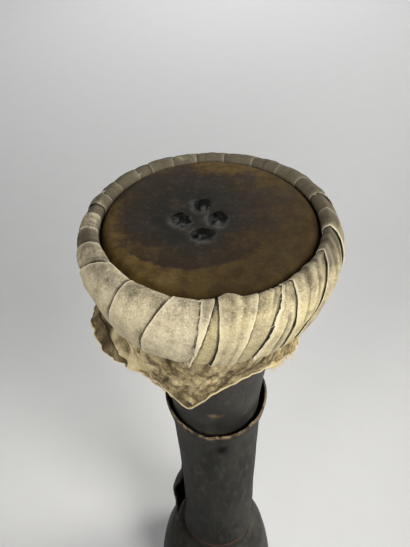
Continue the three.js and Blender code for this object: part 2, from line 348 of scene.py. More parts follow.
def hideFinish():
    # rawhide: a worn, darkened middle on the face, sharp against the front, ochre towards its rim, grey dust
    # with a painted highlight round the lumps; mottled tan on the skirt with stains, painted shade in
    # creases, under the ring and on inner faces, painted highlights on fold ridges, pale where it is cut
    hide = Finish("rawhide", 0.75, 0.05)
    parts = addNode(hide.tree, "SeparateXYZ", {"Vector": hide.place}).outputs
    blotch = hide.noise(28, 6)
    patch = hide.noise(11, 6, rough=0.6)
    speck = hide.noise(3.5, 6, rough=0.65)
    fibre = hide.noise(1.3, 3)
    flat = addNode(hide.tree, "VectorMath", {0: hide.place, 1: (0.013, -0.008, 0)}, operation="ADD")
    flat = addNode(hide.tree, "VectorMath", {0: flat.outputs[0], 1: (1, 1, 0)}, operation="MULTIPLY")
    away = addNode(hide.tree, "VectorMath", {0: flat.outputs[0]}, operation="LENGTH").outputs["Value"]
    away = hide.math("ADD", away, hide.ramp(patch, 0.25, 0.75, -0.0011, 0.0011))
    ragged = hide.math("ADD", away, hide.ramp(blotch, 0.25, 0.75, -0.016, 0.016))
    sharp, soft = hide.ramp(away, 0.0572, 0.0604, 1, 0), hide.ramp(ragged, 0.043, 0.076, 1, 0)
    behind = hide.ramp(parts["Y"], -0.045, -0.015)
    worn = hide.mix(behind, sharp, soft)
    rim = hide.mix(hide.ramp(patch, 0.36, 0.64), (0.038, 0.0235, 0.0075), (0.076, 0.049, 0.0135))
    rim = hide.mix(hide.ramp(speck, 0.5, 0.72, 0, 0.5), rim, (0.105, 0.074, 0.027))
    rim = hide.mix(hide.ramp(fibre, 0.48, 0.66, 0, 0.55), rim, (0.033, 0.020, 0.008))
    dark = hide.mix(hide.ramp(away, 0.022, 0.055), (0.0098, 0.0094, 0.0076), (0.0155, 0.0104, 0.0064))
    dark = hide.mix(hide.ramp(patch, 0.48, 0.68, 0, 0.6), dark, (0.0245, 0.0165, 0.0098))
    dark = hide.mix(hide.ramp(speck, 0.5, 0.7, 0, 0.5), dark, (0.036, 0.027, 0.0155))
    slope = hide.math("SUBTRACT", parts["X"], hide.math("MULTIPLY", parts["Y"], 0.6))
    rim = hide.mix(hide.ramp(slope, -0.005, 0.05, 0, 0.62), rim, (0.0145, 0.0090, 0.0034))
    wave = {"Vector": flat.outputs[0], "Scale": math.pi / 10 / (1.1 * mm), "Distortion": 9.0,
            "Detail": 3.0, "Detail Scale": 0.35}
    circles = addNode(hide.tree, "TexWave", wave, wave_type="RINGS", rings_direction="Z").outputs["Fac"]
    rim = hide.mix(hide.ramp(circles, 0.45, 0.95, 0, 0.3), rim, (0.012, 0.0075, 0.003))
    face = hide.mix(worn, rim, dark)
    # pale grey round the lumps: grey dust, with a painted highlight on their front-left side
    dust = hide.math("MULTIPLY", hide.value("dust"), hide.ramp(speck, 0.35, 0.6, 0.15, 0.8))
    face = hide.mix(dust, face, (0.056, 0.056, 0.051))
    tan = hide.mix(hide.ramp(blotch, 0.35, 0.62), (0.275, 0.206, 0.098), (0.50, 0.405, 0.216))
    tan = hide.mix(hide.ramp(patch, 0.42, 0.6, 0.6, 0), tan, (0.12, 0.085, 0.040))
    tan = hide.mix(hide.ramp(speck, 0.36, 0.52, 0.45, 0), tan, (0.12, 0.085, 0.042))
    tan = hide.mix(hide.ramp(speck, 0.56, 0.7, 0, 0.35), tan, (0.52, 0.43, 0.265))
    # painted shade along the creases of two noises, with a painted highlight on the ridges between them
    wrinkles = hide.creases(13, (1, 1, 0.5)), hide.creases(6, (1, 1, 0.65))
    for crease, strength in zip(wrinkles, (0.75, 0.5)):
        tan = hide.mix(hide.ramp(crease, 0.09, 0.17, 0, 0.3), tan, (0.52, 0.43, 0.255))
        tan = hide.mix(hide.ramp(crease, 0.0, 0.045, strength, 0), tan, (0.062, 0.043, 0.021))
    # painted shade under the ring and in creases and slits, with the tongue's real stains and a darker left
    # flap
    tan = hide.mix(hide.value("shade"), tan, (0.055, 0.038, 0.021))
    # inner faces of the hide darkened: painted shade
    tan = hide.mix(hide.math("MULTIPLY", hide.value("inside"), 0.8), tan, (0.075, 0.055, 0.034))
    # pale along cut edges, and painted highlights on fold ridges
    tan = hide.mix(hide.value("cut"), tan, (0.60, 0.50, 0.305))
    hide.colour(hide.mix(hide.ramp(parts["Z"], 0.7, 0.708), tan, face))
    hide.roughness(hide.ramp(blotch, 0.3, 0.7, 0.62, 0.8))
    hide.bump((blotch, 0.2, 2.0), (patch, 0.3, 1.2), (speck, 0.35, 0.7), (fibre, 0.25, 0.25))
    return hide.material


def clothFinish():
    # undyed cotton: a plain weave along the strip, a tone for each wrap, darkening by place and by wrap,
    # painted shade in creases and under covering edges, pale frayed edges with painted highlights on hems and
    # pleat ridges
    cloth = Finish("bindingCloth", 0.95, 0.1)
    across, along = cloth.value("across"), cloth.value("along")
    strip = addNode(cloth.tree, "CombineXYZ", {"X": across, "Y": along, "Z": 0.0}).outputs[0]
    wave = {"Vector": strip, "Scale": 1 / (1.1 * mm) / 2 / math.pi, "Distortion": 1.2, "Detail": 2.0}
    threads = [addNode(cloth.tree, "TexWave", wave, bands_direction=axis).outputs["Fac"] for axis in "XY"]
    weave = cloth.math("MULTIPLY", *threads)
    stain = cloth.noise(24, 5)
    mottle = cloth.noise(8, 6, rough=0.7)
    fleck = cloth.noise(1.15, 3, (1, 1, 0.7), rough=0.6)
    tone = cloth.value("tone")
    base = cloth.mix(cloth.ramp(tone, 0, 0.5), (0.46, 0.41, 0.295), (0.455, 0.39, 0.242))
    base = cloth.mix(cloth.ramp(tone, 0.5, 1), base, (0.43, 0.36, 0.183))
    base = cloth.mix(cloth.ramp(stain, 0.4, 0.66, 0, 0.55), base, (0.325, 0.265, 0.172))
    base = cloth.mix(cloth.ramp(mottle, 0.42, 0.75, 0, 0.22), base, (0.24, 0.20, 0.135))
    base = cloth.mix(cloth.ramp(fleck, 0.5, 0.72, 0, 0.46), base, (0.19, 0.16, 0.105))
    base = cloth.mix(cloth.ramp(fleck, 0.5, 0.28, 0, 0.34), base, (0.72, 0.66, 0.49))
    # darker where this value is higher, in patches
    soil = cloth.math("ADD", cloth.value("soil"), cloth.ramp(mottle, 0.3, 0.7, -0.15, 0.24))
    soil = cloth.math("ADD", soil, cloth.ramp(fleck, 0.3, 0.7, -0.06, 0.06))
    base = cloth.mix(cloth.ramp(soil, 0.0, 1.0, 0, 0.95), base, (0.05, 0.042, 0.0295))
    # painted shade in creases and under covering edges
    base = cloth.mix(cloth.math("MULTIPLY", cloth.value("crease"), 0.95), base, (0.022, 0.018, 0.012))
    # pale hems, with painted highlights on hems and pleat ridges
    base = cloth.mix(cloth.value("pale"), base, (0.66, 0.60, 0.44))
    cloth.colour(base)
    cloth.bump((mottle, 0.3, 0.9), (fleck, 0.4, 0.4), (weave, 0.35, 0.25))
    return cloth.material


def sleeveFinish():
    # blackened hide: smooth and greyed, raw tan at the torn rim, rusty at the lower edge, painted shade on
    # its inner faces
    sleeve = Finish("sleeveHide", 0.62, 0.06)
    cloud = sleeve.noise(38, 5, (1, 1, 0.45))
    scratch = sleeve.noise(6, 6, (1, 1, 0.3))
    pore = sleeve.noise(1.5, 3)
    base = sleeve.mix(sleeve.ramp(cloud, 0.35, 0.66), (0.0098, 0.0098, 0.0083), (0.030, 0.0295, 0.025))
    base = sleeve.mix(sleeve.ramp(scratch, 0.52, 0.72, 0, 0.6), base, (0.056, 0.05, 0.039))
    base = sleeve.mix(sleeve.ramp(scratch, 0.46, 0.3, 0, 0.6), base, (0.009, 0.0078, 0.006))
    base = sleeve.mix(sleeve.value("stain"), base, (0.0008, 0.0008, 0.0008))
    # inner faces of the sleeve darkened: painted shade
    base = sleeve.mix(sleeve.math("MULTIPLY", sleeve.value("inside"), 0.7), base, (0.012, 0.008, 0.005))
    raw = sleeve.math("MULTIPLY", sleeve.value("raw"), sleeve.ramp(scratch, 0.36, 0.6, 0.12, 1))
    base = sleeve.mix(raw, base, (0.165, 0.118, 0.069))
    base = sleeve.mix(sleeve.value("rust"), base, (0.13, 0.05, 0.03))
    sleeve.colour(base)
    sleeve.roughness(sleeve.ramp(cloud, 0.3, 0.7, 0.5, 0.68))
    sleeve.bump((cloud, 0.25, 1.5), (scratch, 0.25, 0.4), (pore, 0.15, 0.2))
    return sleeve.material


def waxFinish():
    # dark wax and resin with grey dust round its foot and a painted highlight on its front-left side
    wax = Finish("tuningWax", 0.95, 0.0)
    lump = wax.noise(2.4, 5)
    base = wax.mix(wax.ramp(lump, 0.4, 0.65), (0.003, 0.003, 0.0028), (0.0075, 0.0075, 0.0070))
    dust = wax.math("MULTIPLY", wax.value("dust"), wax.ramp(lump, 0.34, 0.56, 0.3, 1))
    wax.colour(wax.mix(dust, base, (0.042, 0.042, 0.039)))
    wax.bump((lump, 0.4, 0.6))
    return wax.material


def plainFinish(name, first, second, size, roughness):
    # two colours in patches of one size
    finish = Finish(name, roughness, 0.2)
    finish.colour(finish.mix(finish.ramp(finish.noise(size), 0.35, 0.65), first, second))
    return finish.material


# Wooden body

body = {
    "outline": [(footRadius, 0), (82, 57), (75, 105), (67, 140), (54, 162), (44, 174), (42, 235), (41, 336),
                (42.3, 440), (44.6, 505), (52, 569), (63, 614), (73, 652), (75.6, 680), (75.6, 704.8)],
    "rim": [(75.2, 707.5), (74, 710), (72.4, 712), (70, 712.8)],
    "hollow": [(68, 712.8), (64, 655), (48, 605), (35, 555), (30, 490), (29, 336), (30, 190),
               (46, 142), (64, 95), (footRadius - 10, 0)],
    "sides": 176, "outerSteps": 300, "innerSteps": 70,
    "wobble": 0.5, "toolMarks": 0.22,
    "chipTurn": -1, "chipDepth": 192, "chipSize": (7, 3.2), "chipBare": 0.6, "neck": 46,
}
bodyOutline = curveThrough(body["outline"], 600)


def bodyRadius(depth):
    # outer radius of the wood at a depth below the face
    return np.interp(faceHeight - np.asarray(depth, float), bodyOutline[:, 1], bodyOutline[:, 0])


def makeBody(material):
    # a lathe: one closed profile of outline, rim and hollow, turned, with wobble and tool marks on it
    outer = evenLine(bodyOutline, body["outerSteps"])
    inner = evenLine(curveThrough(body["hollow"], 300), body["innerSteps"])
    under = np.linspace(inner[-1], outer[0], 6)[1:-1]
    profile = np.vstack([outer, body["rim"], inner, under])[::-1]
    radius, height = profile.T[:, :, None]
    depth = faceHeight - height
    turn = np.linspace(0, 360, body["sides"], endpoint=False)[None, :]
    points = roundAxis(turn, radius, depth)
    outside = (np.arange(len(profile))[::-1] < len(outer))[:, None]
    marks = noise(points * [1, 1, 0.22], 13, 3)
    offset = body["wobble"] * noise(points, 60, 1) + body["toolMarks"] * marks
    fitted = 1 - 0.85 * smoothStep(height, 560, 600)
    acrossChip = turnFrom(turn, body["chipTurn"]) * math.pi / 180 * body["neck"] / body["chipSize"][0]
    downChip = (depth - body["chipDepth"]) / body["chipSize"][1]
    chip = np.exp(-((acrossChip**2 + downChip**2) ** 2)) * outside
    offset = np.minimum(offset, 0.25) * fitted * outside - 0.7 * chip
    worn = smoothStep(height, 9, 1) * outside * (0.45 + 0.55 * noise(points, 16, 8))
    dents = smoothStep(height, 10, 0) * smoothStep(noise(points, 19, 9), 0.45, 0.8) * outside
    points = roundAxis(turn, radius + offset - 1.6 * dents, depth)
    bare = np.clip(chip * body["chipBare"] + worn + dents, 0, 1)
    return makePiece("drumBody", [closedGrid(points, bare=bare)], material, ["drum_body"])


# Hide head: face, skirt, front corner and a doubled edge on the left flap

lumps = {"radius": 8, "height": 4.2, "centre": (-6.5, 0), "spacing": (13, 16.4), "aside": 2.2,
         "spots": {"far": (0, 1), "near": (0, -1), "left": (-1, 0), "right": (1, 0)},
         "skin": 0.4, "sunk": 0.3, "columns": 64, "rows": 30}
hide = {
    "thickness": 1.8, "side": 78.2, "round": 8.8, "columns": 288,
    "skirtTop": 60, "gap": 0.5, "about": 70,
    # turn, depth of the lower edge
    "edge": [(-180, 132), (-150, 120), (-125, 108), (-108, 104), (-98, 106), (-88, 108), (-78, 113),
             (-70, 117), (-66, 119), (-61, 123), (-56, 128), (-52, 135), (-48, 143), (-45, 152),
             (-43.5, 142), (-41.5, 143), (-40, 157), (-36, 161), (-30, 156), (-25, 148), (-19, 136),
             (-6, 116), (8, 101), (20, 94), (34, 92), (46, 93), (58, 102), (75, 116),
             (95, 124), (120, 116), (150, 121)],
    # turn, lift off the bowl at the lower edge, spread
    "flares": [(-96, 34, 37), (52, 10, 24), (110, 5, 40), (170, 9, 40)],
    "ragged": 1.6,
}
corner = {
    # turn, depth of the lower edge, from the left shoulder by the tip to the right
    "edge": [(-58, 101), (-56.5, 112), (-50, 130), (-38.5, 147), (-28.5, 159.5), (-23.5, 163), (-18.5, 158),
             (-9, 138), (4, 113), (18, 96), (33, 91), (44, 89)],
    "top": 50, "columns": 150, "rows": 70, "rise": 2.6, "bead": 0.7,
    # turn, radius and depth of the tip
    "tip": (-23.5, 56.0, 163.0),
}
flapEdge = {"from": -108, "to": -62, "reach": 17, "stand": 1.8, "columns": 70, "rows": 14}


def lumpCentre(place):
    # the lumps stand in a cross, its far and near arms a little to the right
    across, away = lumps["spots"][place]
    x = lumps["centre"][0] + across * lumps["spacing"][0] + abs(away) * lumps["aside"]
    return x, lumps["centre"][1] + away * lumps["spacing"][1]


def skirtEdge(turn):
    # depth of the skirt's lower edge
    given = np.array(hide["edge"], float)
    return np.interp(turn, given[:, 0], given[:, 1], period=360)


def skirtLift(turn, share):
    # how far the skirt stands off the bowl at a share of its way down
    waves = 1.4 + 1.2 * np.sin(np.radians(5 * turn) + 0.9)
    flare = sum(lift * hump(turn, at, spread) for at, lift, spread in hide["flares"])
    return (waves + flare) * share**1.2


def skirtFolds(turn, depth):
    # pleats that run down from the ring: 1 on a ridge, falling to 0 in a crease
    line = np.stack(np.broadcast_arrays(turn * 1.2 + depth * 0.15, depth * 0.22, 0 * depth), -1)
    return np.abs(noise(line, 9, 21)) * 0.7 + np.abs(noise(line, 4.2, 22)) * 0.5


def skirtRadius(turn, depth):
    # outer radius of the skirt with its pleats
    share = np.clip((depth - hide["skirtTop"]) / (skirtEdge(turn) - hide["skirtTop"]), 0, 1)
    folds = (3.6 + 2.5 * hump(turn, -90, 34)) * skirtFolds(turn, depth) * smoothStep(share, 0, 0.35)
    return bodyRadius(depth) + hide["gap"] + hide["thickness"] + skirtLift(turn, share) + folds


def cutEdge(turn, depth, edge, radius, width):
    # 1 on the cut edge and 0 at a distance from it, measured square to the edge
    slope = np.gradient(edge, axis=-1) / np.maximum(np.gradient(np.radians(turn) * radius, axis=-1), 1e-6)
    return smoothStep((edge - depth) / np.sqrt(1 + slope**2), width, width * 0.35)


def makeHide():
    # the face: flat rows out from the middle, a bend of a quarter circle, the side, and the skirt below it
    turn = np.linspace(-180, 180, hide["columns"], endpoint=False)[None, :]
    flat = np.linspace(0.6, hide["side"] - hide["round"], 46)[:, None]
    bend = np.radians(np.linspace(0, 90, 12)[1:])[:, None]
    bent = hide["side"] - hide["round"] * (1 - np.sin(bend))
    radius = np.vstack([flat, bent]) + 0 * turn
    depth = np.vstack([0 * flat, hide["round"] * (1 - np.cos(bend))]) + 0 * turn
    points = roundAxis(turn, radius, depth)
    sink = 0.35 * noise(points, 26, 31) + 0.12 * noise(points, 9, 32)
    depth = depth - np.minimum(sink, 0.2) * smoothStep(radius, 76, 66)
    sideDepth = np.linspace(hide["round"] + 4, hide["skirtTop"], 14)[:, None] + 0 * turn
    sideRadius = np.maximum(bodyRadius(sideDepth) + 0.4, bodyRadius(40) + 0.4) + hide["thickness"] - 0.2
    edgePlace = roundAxis(turn, hide["about"], 0)
    rough = noise(edgePlace, 7, 33) + 0.5 * noise(edgePlace, 2.6, 34)
    edge = skirtEdge(turn) + hide["ragged"] * (1 + 1.6 * hump(turn, -92, 26)) * rough
    share = np.linspace(0, 1, 44)[1:, None]
    skirtDepth = hide["skirtTop"] + (edge - hide["skirtTop"]) * share
    skirt = skirtRadius(turn, skirtDepth)
    blend = smoothStep(share, 0, 0.25)
    skirt = sideRadius[-1:] * (1 - blend) + skirt * blend
    grid = roundAxis(turn, skirt, skirtDepth)
    crumples = np.clip(0.8 * crumple(grid, 12, 35) + 0.3 * noise(grid, 4, 36), -0.6, 2)
    skirt = skirt + crumples * smoothStep(share, 0, 0.3)
    curl = smoothStep(share, 0.86, 1) * (0.5 + hump(turn, -96, 24) * 1.2)
    folds = skirtFolds(turn, skirtDepth)
    cut = cutEdge(turn + 0 * skirtDepth, skirtDepth, edge + 0 * skirtDepth, hide["about"], 1.7)
    cut = cut * (0.5 + 0.5 * hump(turn, -98, 24))
    # pale on the fold ridges left of the front corner: a painted highlight
    cut = np.maximum(cut, 0.7 * hump(turn, -66, 15) * smoothStep(folds, 0.28, 0.6))
    cut = np.vstack([0 * radius, 0 * sideDepth, cut])
    # painted shade: darker high on the skirt under the ring, in the pleats' creases and on the hide's side
    # under the ring; darker on the left flap too
    shade = 0.8 * smoothStep(share, 0.4, 0.05) + 1.5 * hump(turn, -98, 30) + smoothStep(folds, 0.27, 0.03)
    shade = np.vstack([0 * radius, 0 * sideDepth + 0.7, np.clip(shade, 0, 1)])
    radius = np.vstack([radius, sideRadius, skirt + curl])
    depth = np.vstack([depth, sideDepth, skirtDepth])
    dust = np.zeros(radius.shape)
    # a pale grey ring round each lump on its front-left side only, towards the front lamp: a painted
    # highlight
    for x, y in map(lumpCentre, lumps["spots"]):
        aside = radius * np.sin(np.radians(turn)) - x
        ahead = -radius * np.cos(np.radians(turn)) - y
        far = np.hypot(aside, ahead)
        facing = smoothStep((-aside - 0.8 * ahead) / np.maximum(far, 0.1), -0.3, 0.9)
        dust = np.maximum(dust, np.exp(-(((far - 8.6) / 2.2) ** 2)) * facing)
    dust = dust * (depth < 2)
    return shell(roundAxis(turn, radius, depth), hide["thickness"], True, True,
                 cut=cut, shade=shade, dust=dust)


def makeCorner():
    # the front corner: a sheet over the skirt, cut to a point, crumpled, with a bead along its cut edge
    given = np.array(corner["edge"], float)
    turn = np.linspace(given[0, 0], given[-1, 0], corner["columns"])[None, :]
    edge = curveThrough(given, 400)
    edge = np.interp(turn, edge[:, 0], edge[:, 1])
    edge = edge + 0.5 * noise(roundAxis(turn, 70, 0), 6, 41)
    share = np.linspace(0, 1, corner["rows"])[:, None] ** 0.9
    depth = corner["top"] + (edge - corner["top"]) * share
    turnGrid = turn + 0 * depth
    under = skirtRadius(turnGrid, np.minimum(depth, skirtEdge(turnGrid)))
    smoothUnder = bodyRadius(depth) + hide["gap"] + hide["thickness"] + 4.2
    cut = cutEdge(turnGrid, depth, edge + 0 * depth, 66, 1.5)
    leftEdge = smoothStep(np.radians(turnGrid - given[0, 0]) * 68, 1.8, 0.6) * smoothStep(depth, 74, 82)
    cut = np.maximum(cut, leftEdge)
    grid = roundAxis(turnGrid, 66, depth)
    ridges = np.abs(noise(grid, 15, 42)) * 0.7 + np.abs(noise(grid * [1, 1, 0.7], 6.5, 43)) * 0.45
    folds = 4.4 * ridges - 1.3 + 0.9 * noise(grid, 24, 45)
    arcs = np.linalg.norm(grid - roundAxis(*corner["tip"]), axis=-1)
    ripples = np.sin(arcs / 2.6 + 2 * noise(grid, 20, 44)) * hump(turnGrid, -8, 13)
    folds = folds + 0.9 * ripples * smoothStep(arcs, 60, 20)
    slit = np.exp(-((turnFrom(turnGrid, -26 + (depth - 78) * 0.1) / 1.3) ** 2)) * smoothStep(depth, 104, 84)
    line = np.stack(np.broadcast_arrays(turnGrid * 1.15 + depth * 0.34, depth * 0.13, 0 * depth), -1)
    fine = np.abs(noise(line, 4.5, 47)) + 0.4 * np.abs(noise(line, 2.2, 48))
    folds = folds + 1.6 * fine - 0.5
    calm = smoothStep(edge - depth, 0, 6)
    rise = corner["rise"] * smoothStep(share, 0, 0.3) * smoothStep(turnGrid, 43, 30)
    rise = rise - 1.5 * smoothStep(turnGrid, 34, 44) - 2.2 * slit
    rise = rise + np.clip(folds, -1.8, 3.0) * (0.12 + 0.88 * calm) * smoothStep(share, 0.05, 0.3)
    radius = np.maximum(under * 0.5 + smoothUnder * 0.5, smoothUnder - 1.5) + rise + corner["bead"] * cut
    stain = smoothStep(noise(grid, 11, 46), -0.5, 0.5) * 0.75 * smoothStep(depth, 100, 135)
    # painted shade in the creases, under the ring, in the slit and in a patch on the right, with real stains
    # low on the tongue
    creases = (0.55 * smoothStep(ridges, 0.16, 0.02) + 0.7 * smoothStep(fine, 0.26, 0.04)) * calm
    shade = stain + 0.75 * smoothStep(share, 0.3, 0.05) + 0.8 * slit + creases + 0.5 * hump(turnGrid, 22, 16)
    shade = np.clip(shade, 0, 1) * (1 - cut)
    # pale on the fine fold ridges: a painted highlight
    paleFolds = smoothStep(fine, 0.4, 0.75) * (0.22 + 0.3 * hump(turnGrid, -48, 12))
    cut = np.maximum(cut, paleFolds * smoothStep(depth, 135, 105))
    return shell(roundAxis(turnGrid, radius, depth), hide["thickness"] * 0.9, cut=cut, shade=shade)


def makeFlapEdge():
    # the left flap's doubled edge: a narrow strip outside the skirt's edge, standing off it at the bottom
    first, last = flapEdge["from"], flapEdge["to"]
    turn = np.linspace(first, last, flapEdge["columns"])[None, :]
    share = np.linspace(0, 1, flapEdge["rows"])[:, None]
    ends = smoothStep(turn, first, first + 12) * smoothStep(turn, last, last - 14)
    edge = skirtEdge(turn) + 1.0 + 2.2 * noise(roundAxis(turn, 100, 0), 14, 51) * ends
    depth = edge - flapEdge["reach"] * (1 - share) * (0.35 + 0.65 * ends)
    base = skirtRadius(turn + 0 * depth, np.minimum(depth, skirtEdge(turn)))
    grid = roundAxis(turn, 90, depth)
    crumples = np.maximum(1.4 * noise(grid, 9, 52), -0.6)
    radius = base + 1.7 + flapEdge["stand"] * share * ends + crumples * share
    cut = smoothStep(share, 0.86, 0.95) + 0 * turn
    shade = np.clip(0.85 + 0.5 * noise(grid * [1, 1, 0.5], 7, 53), 0.3, 1) * (1 - cut)
    return shell(roundAxis(turn, radius, depth), 1.6, cut=cut, shade=shade)


# Ring: a hoop padded with cloth, and cloth strips wound round it with slanted, lapping edges

ring = {
    # distance from the hide's side, height over the face: up the inside, over the top, down the outside
    "section": [(0.4, -36), (0.2, -20), (0.1, -10), (-1.3, -3.2), (-0.6, 1.4), (2.4, 3.9), (6.6, 4.2),
                (12.6, -1.2), (17.4, -11.5), (19.2, -22), (17.5, -35), (12.5, -50), (4, -58)],
    "inner": 78.6, "rows": 76, "columnStep": 1.6, "cloth": 0.5, "lift": 0.82, "tuck": 6, "inset": 0.9,
    "middle": 12, "midShare": 0.29, "backFullness": 0.17,
    # each edge: turn at the top, a third of the way down and at the bottom; which wrap lies on top there,
    # 1 the right one, -1 the left one; how frayed it is
    "edges": [
        (-174, -178, -190, 1, 0.2), (-160, -165, -176, 1, 0.3), (-146, -151, -162, -1, 0.2),
        (-137, -141, -150, 1, 0.5), (-123, -128, -138, 1, 0.3), (-112, -116, -126, 1, 0.6),
        (-103, -108, -117, -1, 0.2), (-95, -99, -108, 1, 0.2), (-84, -90, -98, 1, 0.4),
        (-72, -80, -88, 1, 0.2), (-56, -68, -76, 1, 0.3), (-40, -43, -49, 1, 0.1),
        (-18, -25, -32, 1, 0.15), (-5, -6, -13, 1, 0.55), (0.5, -3.5, -12.6, -1, 0.2),
        (2, 1.8, -4, 1, 0.2), (19.5, 14, 7, -1, 0.3), (31, 23.5, 16, 1, 0.8),
        (36.5, 33.5, 30, 1, 0.3), (62.5, 51, 36, 1, 0.2), (80, 75, 61, 1, 0.3),
        (94, 89, 77, -1, 0.2), (107, 103, 92, 1, 0.5), (122, 118, 107, 1, 0.3),
        (138, 134, 123, -1, 0.4), (153, 148, 137, 1, 0.3), (170, 165, 153, 1, 0.4),
    ],
    # tone of each wrap after its edge: 0 greyish cream, 0.5 cream, 1 yellowed
    "tones": [0.3, 0.7, 0.2, 0.6, 0.8, 0.3, 0.5, 0.2, 0.4, 0.3, 0.25, 0.3, 0.2, 0.35, 0.9, 0.75, 0.8, 0.7,
              0.85, 0.8, 0.75, 0.6, 0.7, 0.4, 0.6, 0.5, 0.4],
    # pleats inside a wrap, by its number: how many and how high
    "pleats": {1: (2, 0.5), 4: (3, 0.6), 6: (2, 0.6), 7: (3, 0.5), 8: (4, 0.8), 9: (4, 0.6), 10: (2, 0.3),
               11: (2, 0.25), 12: (2, 0.15), 15: (3, 0.7), 16: (4, 1.1), 17: (3, 1.0), 18: (3, 0.8),
               19: (3, 0.8), 20: (2, 0.6), 22: (3, 0.9), 23: (2, 0.7), 24: (4, 1.0), 26: (3, 0.6)},
    # extra darkening of each wrap beyond what its place gives it
    "darkenings": [-0.15, 0, 0.1, 0, -0.1, -0.1, 0, -0.2, 0.3, 0, -0.1, 0, 0, 0, 0, 0, 0, 0.1, 0.2, 0.6, 0.15,
              0.5, 0.3, 0.25, 0.36, 0.25, 0.42],
    # where the ring stands off the hide: turn, by how much, spread
    "standOff": [(84, 1.8, 34), (-84, 1.6, 26), (30, 0.8, 22)],
    # where the ring's lower half is slimmer: turn, by how much, spread
    "slim": [(-74, 1.8, 34), (76, 4.0, 36)],
    "strip": 0.045, "fill": 0.9, "paddingInset": 3.0, "paddingSides": 200,
}
ringCurve = evenLine(curveThrough(ring["section"], 500), ring["rows"])
ringAcross, ringHeight = ringCurve.T
ringLength = lengthAlong(ringCurve)
crest = int(np.argmax(ringHeight))
ringShare = np.clip((ringLength - ringLength[crest]) / (ringLength[-1] - ringLength[crest]), 0, 1)
ringTangent = np.gradient(ringCurve, axis=0)
ringTangent /= np.linalg.norm(ringTangent, axis=1, keepdims=True)
wrapRadius = ring["inner"] + ring["middle"]


def edgeTurn(edge):
    # turn of a wrap's edge along the section: the parabola through its three given places
    top, mid, low = edge[:3]
    m, s = ring["midShare"], ringShare
    return top * (s - m) * (s - 1) / m + mid * s * (s - 1) / (m * (m - 1)) + low * s * (s - m) / (1 - m)


def ringPlace(turn, offset):
    # points of the ring's surface moved out by an offset; rows follow the section
    back = hump(turn, -125, 30) + 1.6 * hump(turn, 128, 30)
    nearHide = smoothStep(ringAcross[:, None], 9, 0)
    stand = sum(out * hump(turn, at, spread) for at, out, spread in ring["standOff"]) * nearHide
    across = ringAcross[:, None] * (1 + ring["backFullness"] * back) + stand
    low = np.exp(-(((ringHeight + 36) / 14) ** 2))[:, None] * smoothStep(ringAcross, 6, 12)[:, None]
    across = across - low * sum(slim * hump(turn, at, spread) for at, slim, spread in ring["slim"])
    offset = offset - ring["inset"]
    radius = ring["inner"] + across - offset * ringTangent[:, 1:]
    sag = 1.2 * noise(roundAxis(turn, 90.0, 0.0), 40, 60) - 3.8 * hump(turn, 180, 80)
    sag = sag * smoothStep(ringLength, 0, ringLength[crest])[:, None]
    return roundAxis(turn, radius, -(ringHeight[:, None] + offset * ringTangent[:, :1]) - sag)


def lineAt(distance, turn):
    # the painted shadow line along an edge that covers the cloth, wider on the left, with a soft painted
    # shade beside it
    width = 1.0 + 2.2 * smoothStep(turn, -5, -40) * smoothStep(turn, -92, -70)
    strength = 0.8 - 0.35 * smoothStep(abs(turn), 75, 95)
    return strength * smoothStep(distance, width, 0.55 * width) + 0.25 * np.exp(-distance / 4)


def wrapWidth(number):
    # distance between a wrap's two edges along the section
    count = len(ring["edges"])
    left, right = ring["edges"][number % count], ring["edges"][(number + 1) % count]
    return np.radians((edgeTurn(right) - edgeTurn(left)) % 360)[:, None] * wrapRadius


